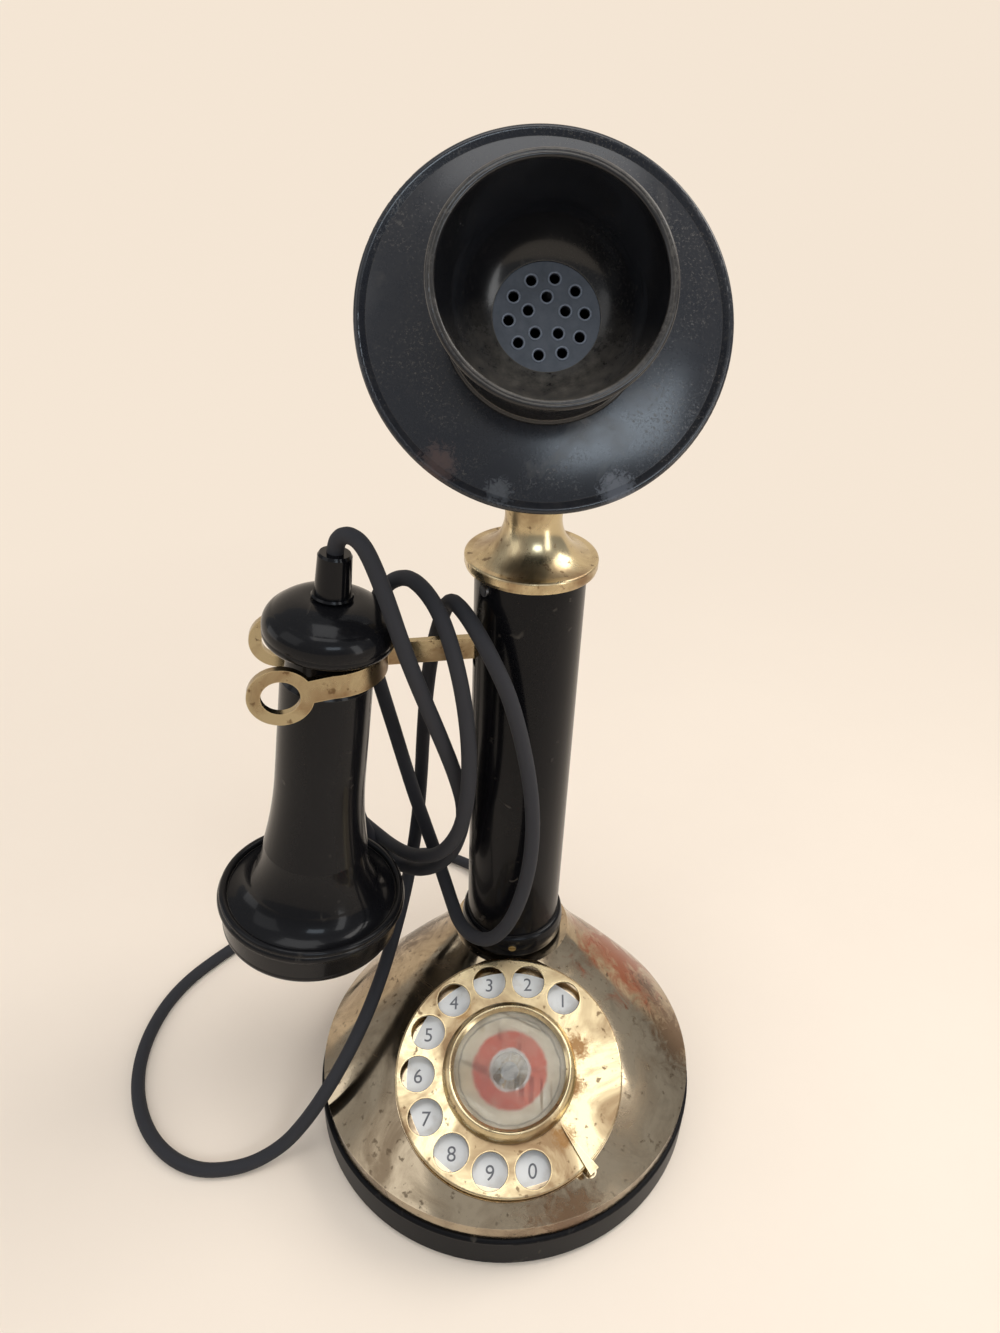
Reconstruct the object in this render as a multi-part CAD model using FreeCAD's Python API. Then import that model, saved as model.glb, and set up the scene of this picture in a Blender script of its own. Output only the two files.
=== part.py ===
import FreeCAD, Part
import math
import os

os.makedirs("parts", exist_ok=True)

V = FreeCAD.Vector
X, Y, Z = V(1, 0, 0), V(0, 1, 0), V(0, 0, 1)

# Driving dimensions, mm. Origin: centre of the foot pad on the table, front faces -Y.
BASE_R = 68.0          # plinth radius
PLINTH_TOP = 15.0      # top of the black plinth
COVER_R = 66.8         # brass cover at its skirt
SKIRT_TOP = 21.0       # end of the cover's upright band
COVER_TOP = 58.0       # flat on the cover that carries the column
WALL = 1.2             # sheet brass
SCREW_RING = 56.0      # base plate screws
SCREW_ANGLES = (45, 135, 225, 315)
TERMINALS = [(x, y) for x in (-26, -19, -12) for y in (14, 22)]
COLUMN_Y = 27.0        # the column stands behind the base's centre
COLUMN_R = 16.5
COLUMN_TOP = 208.0
DIAL_CENTRE = V(0, -28.5, 46.7)
DIAL_LEAN = 20.6       # degrees the dial face leans from level, towards the front
WHEEL_R = 38.0         # three-inch finger wheel
DIAL_SEAT = -6.2       # the cover's dial seat, below the wheel's face
RECESS_R = 39.4        # recess in the cover round the dial's upper edge
FINGER_COUNT = 10
FINGER_R = 5.8
FINGER_RING = 30.6
FINGER_FIRST = 53.0    # degrees round the wheel, anticlockwise from the right
FINGER_STEP = 25.8
STOP_ANGLE = -46.0
STOP_FOOT = 39.6       # finger stop's foot, from the dial's axis
FOOT_ANGLE = STOP_ANGLE - 1.8
GEAR_TEETH = 40
PINION_TEETH = 10
GEAR_MODULE = 0.8
DISC_CENTRE = V(0, 18.5, 278.0)
DISC_LEAN = 61.3       # degrees from level: the mouthpiece looks up by the rest
DISC_R = 46.5
RIM_R = 27.0
RIM_DEPTH = 32.5
TILT_PIN = V(0, 31.0, 236.0)
HOOK_YAW = 11.7        # the hook arm points left and a little forward
HOOK_Z = 181.0
HOOK_PIVOT = 8.0       # from the column's axis, along the arm
STRIP_H = 7.5
STRIP_T = 2.2
FORK_REACH = 58.7      # column axis to the receiver's neck
FORK_GAP = 14.2        # half the gap between the tines
EYE_REACH = 14.5       # eyelet centre beyond the neck
EYE_DROP = 2.2         # eyelet centre below the strip's middle
EYE_R = 9.2
EYE_HOLE_R = 5.4
RECEIVER_LEAN = 6.8    # the hung receiver's foot swings outwards
RECEIVER_SEAT = 187.2  # height of the cap's underside on the neck's axis
RECEIVER_FOOT = 114.0  # cap's underside to the ear cap's face
EAR_CAP_H = 13.0
BELL_R = 28.0          # the receiver's bell where the ear cap takes it
CORD_D = 4.8
PLAY = 0.05            # running clearance of a shaft

# Routes of the receiver cord: the lead from the sleeve, the loops hung over the hook, then the tail.
LEAD_ROUTE = [
    (-54.3, 15.8, 214.6), (-54.0, 15.85, 216.8), (-52.7, 15.0, 219.6), (-50.3, 13.6, 221.1),
    (-47.6, 11.9, 220.8), (-45.3, 10.5, 218.7), (-42.9, 9.0, 214.0), (-39.6, 7.0, 205.3), (-35.2, 4.4, 191.4),
    (-30.4, 4.2, 176.4), (-25.2, 7.0, 158.8), (-20.7, 10.4, 141.4), (-17.9, 13.2, 125.7),
    (-19.0, 17.0, 110.5), (-21.1, 18.75, 103.15)]
DRAPE_ROUTE = [
    (-21.1, 18.75, 103.15), (-23.2, 20.5, 95.8), (-31.4, 26.5, 83.5), (-40.5, 34.5, 76.8),
    (-48.8, 41.8, 76.0), (-55.2, 46.0, 82.8), (-58.8, 46.2, 95.0), (-59.9, 44.5, 110.0),
    (-59.1, 42.5, 127.4), (-56.9, 41.5, 147.2), (-53.8, 40.5, 165.8), (-49.7, 38.0, 182.1),
    (-43.4, 33.0, 196.0), (-36.3, 26.0, 203.0), (-30.4, 17.5, 203.6), (-25.1, 10.0, 199.5),
    (-20.9, 5.5, 188.4), (-17.9, 4.5, 173.0), (-16.2, 4.2, 154.9), (-16.5, 4.4, 137.5),
    (-19.0, 6.4, 121.0), (-25.2, 12.4, 105.5), (-33.9, 23.0, 93.5), (-43.0, 36.0, 84.5),
    (-52.0, 47.8, 81.0), (-60.8, 54.4, 84.0), (-67.8, 56.0, 93.5), (-72.6, 54.5, 107.5),
    (-75.3, 52.0, 124.3), (-75.4, 50.6, 142.0), (-74.4, 50.0, 156.0), (-70.6, 49.4, 168.0),
    (-62.6, 48.4, 174.6), (-54.6, 46.8, 171.6), (-50.2, 45.2, 162.0), (-47.2, 43.6, 150.0),
    (-43.9, 42.4, 137.0), (-40.5, 41.2, 123.0), (-36.5, 39.5, 107.3), (-32.0, 37.0, 93.2),
    (-27.5, 32.5, 81.4), (-23.0, 24.5, 72.6), (-18.6, 13.5, 68.4), (-9.8, 5.0, 70.6), (-2.7, 2.6, 80.5),
    (2.1, 3.0, 95.7), (4.5, 3.8, 114.5), (3.9, 4.6, 134.6), (0.4, 5.2, 155.2), (-4.6, 5.4, 174.5),
    (-9.8, 6.0, 186.5), (-14.8, 9.0, 194.8), (-19.4, 14.8, 198.8), (-23.0, 21.6, 198.0),
    (-25.3, 27.25, 191.5), (-26.8, 31.0, 184.6)]
TAIL_ROUTE = [
    (-26.8, 31.0, 184.6), (-28.8, 36.0, 175.4), (-30.8, 40.0, 163.0), (-32.6, 43.5, 146.0),
    (-34.0, 47.0, 128.0), (-35.0, 48.5, 109.5), (-36.3, 48.0, 91.3), (-38.3, 43.5, 75.0),
    (-40.6, 33.5, 63.5), (-43.5, 20.5, 55.5), (-46.6, 7.0, 49.5), (-51.0, -6.0, 43.0),
    (-57.0, -17.0, 35.0), (-63.5, -25.0, 26.5), (-70.5, -29.0, 16.0), (-78.5, -32.0, 6.5),
    (-91.0, -37.0, 2.6), (-108.4, -38.0, 2.5), (-125.3, -27.0, 2.5), (-136.7, -7.6, 2.5),
    (-139.8, 14.5, 2.5), (-134.5, 38.0, 2.5), (-118.0, 59.0, 2.5), (-97.5, 78.0, 2.5), (-77.0, 97.5, 2.5),
    (-57.5, 114.0, 2.5), (-39.5, 120.5, 2.5), (-24.0, 115.0, 2.5), (-11.5, 106.0, 3.4), (-3.5, 96.5, 6.0),
    (-0.5, 87.0, 7.5), (-0.5, 77.5, 7.5)]
GROMMET_Y = 77.5
GROMMET_Z = 7.5


def placed(shape, centre, lean=0.0, axis=X):
    """Tip a part built upright by lean degrees about axis, and stand it at centre."""
    moved = shape.copy()
    moved.Placement = FreeCAD.Placement(centre, FreeCAD.Rotation(axis, lean)).multiply(shape.Placement)
    return moved


def on_dial(shape):
    return placed(shape, DIAL_CENTRE, DIAL_LEAN)


def on_disc(shape):
    return placed(shape, DISC_CENTRE, DISC_LEAN)


def on_hook(shape):
    """The hook's own frame: +X runs out along the arm, from the column's axis."""
    return placed(shape, V(0, COLUMN_Y, HOOK_Z), 180 + HOOK_YAW, Z)


def receiver_origin():
    turn = math.radians(HOOK_YAW)
    return V(-FORK_REACH * math.cos(turn), COLUMN_Y - FORK_REACH * math.sin(turn), RECEIVER_SEAT)


def on_receiver(shape):
    """The receiver hangs with its head towards the column, in the arm's own plane."""
    turn = math.radians(HOOK_YAW)
    return placed(shape, receiver_origin(), RECEIVER_LEAN, V(-math.sin(turn), math.cos(turn), 0))


def cylinder(r, z0, z1, x=0.0, y=0.0):
    return Part.makeCylinder(r, z1 - z0, V(x, y, z0))


def ring(r_out, r_in, z0, z1):
    return cylinder(r_out, z0, z1).cut(cylinder(r_in, z0 - 1, z1 + 1))


def block(x0, x1, y0, y1, z0, z1):
    return Part.makeBox(x1 - x0, y1 - y0, z1 - z0, V(x0, y0, z0))


def turned(outline):
    """Turn a closed outline of (r, z) about Z. (r, z, mr, mz) is reached by an arc through (mr, mz)."""
    edges = []
    last = outline[-1]
    for point in outline:
        start, end = V(last[0], 0, last[1]), V(point[0], 0, point[1])
        if len(point) == 4:
            edges.append(Part.Arc(start, V(point[2], 0, point[3]), end).toShape())
        else:
            edges.append(Part.LineSegment(start, end).toShape())
        last = point
    return Part.Face(Part.Wire(edges)).revolve(V(), Z, 360)


def fused(shapes):
    whole = shapes[0]
    for shape in shapes[1:]:
        whole = whole.fuse(shape)
    return whole.removeSplitter()


def around(shape, count):
    """Copies of a part turned about Z."""
    return [placed(shape, V(), i * 360.0 / count, Z) for i in range(count)]


def polar(r, degrees):
    return r * math.cos(math.radians(degrees)), r * math.sin(math.radians(degrees))


def cord(name, route):
    """A round cord along straight runs joined by the largest arcs that the runs allow."""
    points = [V(*p) for p in route]
    edges = []
    here = points[0]
    radii = []
    for a, b, c in zip(points, points[1:], points[2:]):
        into, out = (b - a).normalize(), (c - b).normalize()
        half = into.getAngle(out) / 2
        reach = 0.45 * min((b - a).Length, (c - b).Length)
        radius = reach / math.tan(half)
        start, end = b - into * reach, b + out * reach
        inward = (out - into).normalize()
        middle = b + inward * (radius / math.cos(half) - radius)
        edges.append(Part.LineSegment(here, start).toShape())
        edges.append(Part.Arc(start, middle, end).toShape())
        here = end
        radii.append(radius)
    edges.append(Part.LineSegment(here, points[-1]).toShape())
    path = Part.Wire(edges)
    section = Part.Wire(Part.makeCircle(CORD_D / 2, points[0], points[1] - points[0]))
    tube = path.makePipeShell([section], True, False)
    length = path.Length
    ideal = math.pi * CORD_D ** 2 / 4 * length
    print(name, "length %.0f mm, least radius %.1f mm, volume ratio %.4f"
          % (length, min(radii), tube.Volume / ideal))
    return tube


# Base

def screw_holes(r, z0, z1):
    return Part.makeCompound([cylinder(r, z0, z1, *polar(SCREW_RING, a)) for a in SCREW_ANGLES])


def base_plinth():
    return turned([(60.0, 1.0), (66.5, 1.0), (BASE_R, 2.5), (BASE_R, 13.6), (67.0, PLINTH_TOP, 67.75, 14.65),
                   (56.0, PLINTH_TOP), (52.0, 9.0), (52.0, 3.0), (60.0, 3.0)]).cut(screw_holes(1.6, 2.0, 7.0))


def base_screws():
    screw = cylinder(3.0, 0.3, 1.0).fuse(cylinder(1.6, 1.0, 7.0))
    return Part.makeCompound([placed(screw, V(*polar(SCREW_RING, a), 0)) for a in SCREW_ANGLES])


def cover_form(inset):
    """Spun cover: an upright skirt that sweeps up, off centre, to the column's foot."""
    skirt = cylinder(COVER_R - inset, PLINTH_TOP - 1, SKIRT_TOP)
    rings = [(0.0, COVER_R, SKIRT_TOP), (4.0, 59.0, 27.5), (13.0, 43.5, 39.0), (21.5, 29.5, 49.0),
             (COLUMN_Y, 21.0, COVER_TOP)]
    wires = [Part.Wire(Part.makeCircle(r - inset, V(0, y, z - (inset if z > SKIRT_TOP else 0)), Z))
             for y, r, z in rings]
    return skirt.fuse(Part.makeLoft(wires, True, False))


def base_cover():
    """The cover's sheet with a drum for the dial in front and a recess for its upper edge."""
    dome = cover_form(0.0)
    drum = on_dial(cylinder(37.2, -26, DIAL_SEAT)).common(cylinder(COVER_R, SKIRT_TOP, 80))
    drum_hollow = on_dial(cylinder(37.2 - WALL, -40, DIAL_SEAT - 1.6)).common(cylinder(COVER_R - WALL, 0, 80))
    recess = on_dial(cylinder(RECESS_R, DIAL_SEAT, 30))
    recess_wall = on_dial(cylinder(RECESS_R + WALL, DIAL_SEAT - 1.6, 30)).common(dome)
    outer = dome.fuse(drum).cut(recess)
    inner = cover_form(WALL).cut(recess_wall).fuse(drum_hollow)
    shell = outer.cut(inner).cut(on_dial(cylinder(31.0, DIAL_SEAT - 3, DIAL_SEAT + 1)))
    shell = shell.cut(cylinder(11.0, 40, 70, 0, COLUMN_Y))
    return shell.cut(cylinder(100, 0, PLINTH_TOP))


def felt_pad():
    return cylinder(64.0, 0.0, 1.0).cut(screw_holes(3.6, -1.0, 3.0))


def base_plate():
    return cylinder(60.0, 1.0, 3.0).cut(screw_holes(1.6, 0.0, 4.0))


def ballast_weight():
    return cylinder(44.0, 3.0, 11.0).cut(cylinder(9.0, 0, 20, 0, COLUMN_Y))


def terminal_block():
    body = block(-30, -8, 12, 24, 11.0, 19.0).cut(block(-31, -7, 16.5, 19.5, 15.0, 20.0))
    return body.cut(Part.makeCompound([cylinder(1.2, 16.0, 20, *spot) for spot in TERMINALS]))


def terminal_screws():
    screw = cylinder(2.4, 19.0, 20.6).fuse(cylinder(1.2, 16.0, 19.0))
    return Part.makeCompound([placed(screw, V(*spot, 0)) for spot in TERMINALS])


def grommet(r_out, bore, reach, x):
    """A tapered rubber bush that lies along +Y against the plinth's wall."""
    start, end = BASE_R - 1.0, BASE_R + reach
    middle = (start + end) / 2 + 1
    shape = turned([(bore, start), (r_out, start), (r_out, start + 4), (r_out - 1, end, r_out - 0.2, middle),
                    (bore, end)])
    return placed(shape, V(x, 0, GROMMET_Z), -90, X).cut(cylinder(BASE_R, 0, PLINTH_TOP))


def cord_grommet():
    return grommet(4.6, 1.0, GROMMET_Y - BASE_R, -0.5)


def line_grommet():
    return placed(grommet(4.4, 2.2, 4.5, 0.0), V(), -24.0, Z)


# Dial: built level about its own axis, with the wheel's face at z = 0

def dial_mount():
    lip = turned([(29.0, DIAL_SEAT), (37.6, DIAL_SEAT), (38.2, -4.4, 38.3, -5.4), (34.4, -4.4), (34.4, -5.0),
                  (29.0, -5.0)])
    pad = cylinder(2.0, DIAL_SEAT, -4.4, *polar(STOP_FOOT, FOOT_ANGLE))
    arm = placed(block(33, STOP_FOOT, -2.0, 2.0, DIAL_SEAT, -4.4), V(), FOOT_ANGLE, Z)
    lug = pad.fuse(arm).cut(cylinder(34.4, -9, 0))
    return on_dial(lip.fuse(lug).removeSplitter())


def number_plate():
    return on_dial(ring(34.4, 6.2, -5.0, -4.4))


def finger_stop():
    """A pointed blade over the wheel, on a foot outside its edge."""
    corners = [V(*polar(23.4, STOP_ANGLE + 1.5), 0.7), V(*polar(STOP_FOOT + 1.2, STOP_ANGLE - 4.2), 0.7),
               V(*polar(STOP_FOOT + 1.2, STOP_ANGLE + 0.6), 0.7)]
    blade = Part.Face(Part.makePolygon(corners + corners[:1])).extrude(V(0, 0, 1.0))
    foot = cylinder(1.0, -4.4, 0.7, *polar(STOP_FOOT, FOOT_ANGLE))
    return on_dial(blade.fuse(foot).removeSplitter())


def dial_frame():
    plate = cylinder(30.6, -8.0, -6.2).cut(cylinder(5.0, -9, 0)).cut(cylinder(1.5 + PLAY, -9, 0, 20.0, 0))
    return on_dial(plate)


def dial_bush():
    return on_dial(ring(5.0, 3.0 + PLAY, -13.5, -2.4))


def mainspring_barrel():
    return on_dial(ring(13.5, 5.4, -13.0, -8.0))


def pulse_contacts():
    pile = block(-26, -18, 8, 14, -18.0, -8.0)
    blades = [block(-18, -4, 9 + 2 * i, 9.6 + 2 * i, -21.5, -19.8) for i in range(2)]
    arms = [block(-26, -16, 9 + 2 * i, 9.6 + 2 * i, -21.5, -18.0) for i in range(2)]
    return on_dial(fused([pile] + blades + arms))


def finger_wheel():
    plate = turned([(3.0, -1.4), (37.3, -1.4), (WHEEL_R, -0.7, 37.8, -1.2), (37.3, 0.0, 37.8, -0.2),
                    (3.0, 0.0)])
    holes = [cylinder(FINGER_R, -3, 3, *polar(FINGER_RING, FINGER_FIRST + i * FINGER_STEP))
             for i in range(FINGER_COUNT)]
    return on_dial(plate.cut(Part.makeCompound(holes)))


def card_ring():
    return on_dial(turned([(19.4, 0.0), (22.4, 0.0), (20.6, 4.6, 22.0, 2.6), (19.4, 4.6, 20.0, 5.0),
                           (18.6, 3.8), (18.6, 3.2), (19.4, 3.2)]))


def dial_card():
    return on_dial(cylinder(19.3, 1.0, 2.2).fuse(cylinder(6.0, 0.0, 1.0)).removeSplitter())


def card_window():
    return on_dial(cylinder(19.3, 2.2, 3.2))


def dial_shaft():
    return on_dial(cylinder(3.0, -20.0, 0.0).fuse(cylinder(4.5, -20.0, -18.5)))


def toothed(teeth, z0, z1, bore):
    """A spur gear with straight-flanked teeth and easy backlash."""
    pitch_r = teeth * GEAR_MODULE / 2
    root_r, tip_r = pitch_r - 0.95, pitch_r + 0.55
    width = math.pi * GEAR_MODULE / 2 - 0.36
    flank = [V(root_r - 0.4, -width * 0.72, z0), V(pitch_r, -width / 2, z0), V(tip_r, -width * 0.26, z0),
             V(tip_r, width * 0.26, z0), V(pitch_r, width / 2, z0), V(root_r - 0.4, width * 0.72, z0)]
    tooth = Part.Face(Part.makePolygon(flank + flank[:1])).extrude(V(0, 0, z1 - z0))
    blank = cylinder(root_r, z0, z1)
    return blank.multiFuse(around(tooth, teeth)).removeSplitter().cut(cylinder(bore, z0 - 1, z1 + 1))


def dial_gear():
    return on_dial(toothed(GEAR_TEETH, -17.0, -15.0, 3.0))


def governor_pinion():
    half_tooth = 180.0 / PINION_TEETH
    pinion = placed(toothed(PINION_TEETH, -17.5, -14.5, 1.4), V(), 180 - half_tooth, Z)
    arbor = cylinder(1.5, -24.0, -6.4).cut(cylinder(1.6, -17.5, -14.5).cut(cylinder(1.4, -18, -14)))
    centre = V((GEAR_TEETH + PINION_TEETH) * GEAR_MODULE / 2, 0, 0)
    return on_dial(placed(fused([arbor, pinion]), centre))


def governor_weights():
    bar = block(-5.5, 5.5, -2.4, 2.4, -23.0, -21.5).cut(cylinder(1.5, -30, 0))
    weights = [placed(cylinder(1.8, -24.5, -20.0), V(x, 0, 0)) for x in (-5.0, 5.0)]
    centre = V((GEAR_TEETH + PINION_TEETH) * GEAR_MODULE / 2, 0, 0)
    return on_dial(placed(fused([bar] + weights), centre))


# Column

def column_tube():
    tube = ring(COLUMN_R, COLUMN_R - 1.6, COVER_TOP, COLUMN_TOP)
    tube = placed(tube, V(0, COLUMN_Y, 0))
    slot = on_hook(block(10, 22, -2.2, 2.2, -6.5, 8.0))
    return tube.cut(slot)


def column_collar():
    collar = turned([(COLUMN_R, COVER_TOP), (17.0, COVER_TOP), (18.3, 61.0, 18.0, 59.2),
                     (18.0, 66.5, 18.4, 64.0), (COLUMN_R, 68.0, 17.4, 67.7)])
    hole = Part.makeCylinder(1.3, 6, V(0, COLUMN_Y - 14.5, 64.0), V(0, -1, 0))
    return placed(collar, V(0, COLUMN_Y, 0)).cut(hole)


def collar_screw():
    head = Part.makeCylinder(1.3, 2.2, V(0, COLUMN_Y - COLUMN_R, 64.0), V(0, -1, 0))
    return head.cut(Part.makeBox(3, 0.4, 0.4, V(-1.5, COLUMN_Y - COLUMN_R - 2.2, 63.8)))


def column_cap():
    cap = turned([(0.0, COLUMN_TOP), (19.2, COLUMN_TOP), (19.5, 209.0), (19.5, 210.6),
                  (18.6, 211.6, 19.3, 211.4), (17.2, 211.6), (8.2, 224.0, 11.0, 215.6), (8.2, 228.0),
                  (0.0, 228.0)])
    plug = cylinder(COLUMN_R - 1.6, 200.0, COLUMN_TOP)
    return placed(fused([cap, plug]), V(0, COLUMN_Y, 0))


def cap_screw():
    """A set screw on the column's left, turned a little to the front."""
    head = placed(cylinder(1.7, COLUMN_R - 0.5, COLUMN_R + 0.9), V(0, 0, 204.0), 90, Y)
    head = head.cut(cylinder(COLUMN_R, 0, COLUMN_TOP))
    return placed(head, V(0, COLUMN_Y, 0), 180 + 38.0, Z)


def tilt_yoke():
    """Two brass ears on the cap's neck that carry the transmitter's pin."""
    ears = []
    for side in (-1, 1):
        x0 = 3.4 if side > 0 else -6.4
        ear = block(x0, x0 + 3.0, TILT_PIN.y - 5.0, TILT_PIN.y + 5.0, 228.0, TILT_PIN.z)
        ear = ear.fuse(Part.makeCylinder(5.0, 3.0, V(x0, TILT_PIN.y, TILT_PIN.z), X))
        ears.append(ear.cut(Part.makeCylinder(1.6, 9.0, V(x0 - 3, TILT_PIN.y, TILT_PIN.z), X)))
    foot = cylinder(8.2, 228.0, 229.6, 0, COLUMN_Y)
    shelf = block(-6.4, 6.4, TILT_PIN.y - 5.0, TILT_PIN.y + 5.0, 228.0, 229.6)
    return fused([foot, shelf] + ears)


def tilt_pin():
    shaft = Part.makeCylinder(1.6, 12.8, V(-6.4, TILT_PIN.y, TILT_PIN.z), X)
    head = Part.makeCylinder(3.0, 1.6, V(6.4, TILT_PIN.y, TILT_PIN.z), X)
    nut = Part.makeCylinder(2.8, 1.6, V(-8.0, TILT_PIN.y, TILT_PIN.z), X)
    return fused([shaft, head, nut])


# Hook switch

def hook_bracket():
    """Two cheeks on a cross plate, fixed inside the column, that carry the hook's pin."""
    cheeks = [block(2, 11, s * 5.0 - 0.8, s * 5.0 + 0.8, -14, 5.5) for s in (-1, 1)]
    plate = block(2, 11, -5.8, 5.8, -16.0, -14.0)
    floor = cylinder(COLUMN_R - 1.6, -18.0, -16.0)
    holes = Part.makeCylinder(1.5, 14, V(HOOK_PIVOT, -7, 0), Y)
    return on_hook(fused(cheeks + [plate, floor]).cut(holes))


def hook_pin():
    return on_hook(Part.makeCylinder(1.5, 11.6, V(HOOK_PIVOT, -5.8, 0), Y))


def hook_lever():
    """A brass strip on edge that opens into a two-tined fork with an eyelet on each tine."""
    low, high = -STRIP_H / 2, STRIP_H / 2
    outer = FORK_GAP + STRIP_T
    bend = placed(ring(outer, FORK_GAP, low, high), V(FORK_REACH, 0, 0))
    bend = bend.common(block(0, FORK_REACH, -30, 30, -20, 20))
    arm = block(-4.0, FORK_REACH - outer + 0.6, -STRIP_T / 2, STRIP_T / 2, low, high)
    tines = []
    for y0 in (FORK_GAP, -outer):
        eye_x = FORK_REACH + EYE_REACH
        side = [V(FORK_REACH, y0, low), V(eye_x, y0, low - EYE_DROP), V(eye_x, y0, high - EYE_DROP),
                V(FORK_REACH, y0, high)]
        bar = Part.Face(Part.makePolygon(side + side[:1])).extrude(V(0, STRIP_T, 0))
        eye = Part.makeCylinder(EYE_R, STRIP_T, V(eye_x, y0, -EYE_DROP), Y)
        hole = Part.makeCylinder(EYE_HOLE_R, STRIP_T + 2, V(eye_x, y0 - 1, -EYE_DROP), Y)
        tines.append(bar.fuse(eye).cut(hole))
    pivot = Part.makeCylinder(1.5 + PLAY, 8, V(HOOK_PIVOT, -4, 0), Y)
    return on_hook(fused([bend, arm] + tines).cut(pivot))


def contact_springs():
    leaves = [block(-12.5, 0.5, -2.0, 2.0, -7.2 - 2.2 * i, -6.8 - 2.2 * i) for i in range(3)]
    return on_hook(Part.makeCompound(leaves))


def contact_insulators():
    pile = block(-12.5, -8.5, -3.0, 3.0, -16.0, -5.2)
    slots = [block(-13, -8, -2.0, 2.0, -7.2 - 2.2 * i, -6.8 - 2.2 * i) for i in range(3)]
    return on_hook(pile.cut(Part.makeCompound(slots)))


# Transmitter: built about its own axis, with the disc's plane at z = 0

def faceplate():
    return on_disc(turned([(15.0, 0.8), (24.0, 1.0), (44.0, -0.8, 34.0, 0.4), (DISC_R, 0.0, 45.6, -1.4),
                           (45.0, 1.2, 46.2, 1.0), (43.6, 0.6), (24.0, 2.6, 34.0, 2.0), (15.0, 2.6)]))


def transmitter_shell():
    """The turned cup behind the disc."""
    shell = turned([(0.0, -27.0), (22.0, -27.0), (34.0, -17.0, 31.0, -24.5), (34.0, -1.4), (32.4, -1.4),
                    (32.4, -16.4), (21.6, -25.4, 29.6, -23.2), (0.0, -25.4)])
    rim = turned([(34.0, -3.0), (38.6, -3.0), (38.6, -0.1), (32.4, 0.5), (32.4, -1.4), (34.0, -1.4)])
    return on_disc(shell.fuse(rim).removeSplitter())


def mouthpiece():
    return on_disc(turned([(13.0, 2.6), (25.0, 2.6), (24.4, 4.6, 25.3, 3.8), (24.6, 18.0, 23.4, 11.0),
                           (26.6, 31.0, 25.4, 25.0), (26.0, RIM_DEPTH, RIM_R, 32.2), (25.0, 31.4, 25.2, 32.4),
                           (22.6, 16.0, 24.3, 24.0), (13.0, 5.0, 19.0, 9.4)]))


def mouthpiece_grille():
    disc = cylinder(12.95, 2.9, 4.6)
    ports = [cylinder(1.35, 2, 6, *polar(9.2, 36.0 * i + 8)) for i in range(10)]
    ports += [cylinder(1.35, 2, 6, *polar(4.7, 72.0 * i + 20)) for i in range(5)]
    return on_disc(disc.cut(Part.makeCompound(ports)))


def transmitter_diaphragm():
    return on_disc(cylinder(31.0, -2.6, -2.2))


def transmitter_capsule():
    button = cylinder(6.0, -4.0, -2.6)
    return on_disc(fused([cylinder(17.0, -14.0, -4.0), button, cylinder(8.0, -25.4, -14.0)]))


def faceplate_screws():
    """Four screw heads on the back of the cup's rim."""
    return on_disc(Part.makeCompound([cylinder(1.9, -4.3, -3.0, *polar(36.3, a)) for a in SCREW_ANGLES]))


def tilt_lug():
    """The tongue under the cup that turns on the pin."""
    tongue = block(-3.0, 3.0, TILT_PIN.y - 4.2, TILT_PIN.y + 4.2, TILT_PIN.z, TILT_PIN.z + 22.0)
    tongue = tongue.fuse(Part.makeCylinder(4.2, 6.0, V(-3.0, TILT_PIN.y, TILT_PIN.z), X))
    tongue = tongue.cut(on_disc(cylinder(34.0, -17.0, 5)))
    cup_end = turned([(0.0, -27.0), (22.0, -27.0), (34.0, -17.0, 31.0, -24.5), (0.0, -17.0)])
    tongue = tongue.cut(on_disc(cup_end))
    keep = tongue.Solids[0]
    for solid in tongue.Solids:
        if solid.BoundBox.ZMin < keep.BoundBox.ZMin:
            keep = solid
    return keep.cut(Part.makeCylinder(1.6 + PLAY, 20, V(-10, TILT_PIN.y, TILT_PIN.z), X))


# Receiver: built upright about its own axis, with the cap's underside at z = 0

def receiver_shell():
    """A slim turned handle that flares like a trumpet to hold the works."""
    ear_z = -RECEIVER_FOOT + EAR_CAP_H
    return on_receiver(turned([
        (0.0, 0.0), (12.4, 0.0), (12.4, -11.0), (13.6, -13.0), (14.0, -48.0), (16.8, -78.0, 14.8, -64.0),
        (20.6, -93.0, 18.2, -87.0), (BELL_R, ear_z + 1.4, 23.6, -97.4), (BELL_R, ear_z), (26.0, ear_z),
        (18.8, -92.0, 21.6, -98.0), (13.0, -70.0, 15.4, -80.0), (0.0, -70.0)]))


def receiver_cap():
    return on_receiver(turned([(0.0, 0.0), (17.4, 0.0), (19.0, 3.0, 18.8, 1.2), (16.4, 9.6, 18.6, 7.0),
                               (5.6, 13.4, 11.6, 12.6), (0.0, 13.4)]))


def cord_sleeve():
    return on_receiver(turned([(2.4, 15.0), (5.2, 15.0), (4.8, 26.8), (4.3, 27.6), (2.4, 27.6)]))


def sleeve_ring():
    return on_receiver(turned([(0.0, 13.4), (4.6, 13.4), (6.0, 14.4, 5.7, 13.9), (5.6, 15.0), (0.0, 15.0)]))


def ear_cap():
    """The screwed ear piece: a rolled lip round the bell, a dished face and a listening hole."""
    top, face = -RECEIVER_FOOT + EAR_CAP_H, -RECEIVER_FOOT
    return on_receiver(turned([
        (24.0, top), (BELL_R + 0.1, top), (BELL_R + 0.1, top + 1.6),
        (30.6, top + 1.2, BELL_R + 1.6, top + 2.9), (30.2, top - 2.0, 31.2, top - 0.4),
        (29.4, face + 3.4), (26.0, face, 28.6, face + 0.7),
        (5.0, face + 4.0, 16.0, face + 2.9), (5.0, face + 6.0), (24.0, face + 5.0)]))


def receiver_diaphragm():
    return on_receiver(cylinder(24.0, -RECEIVER_FOOT + 7.6, -RECEIVER_FOOT + 8.0))


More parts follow.
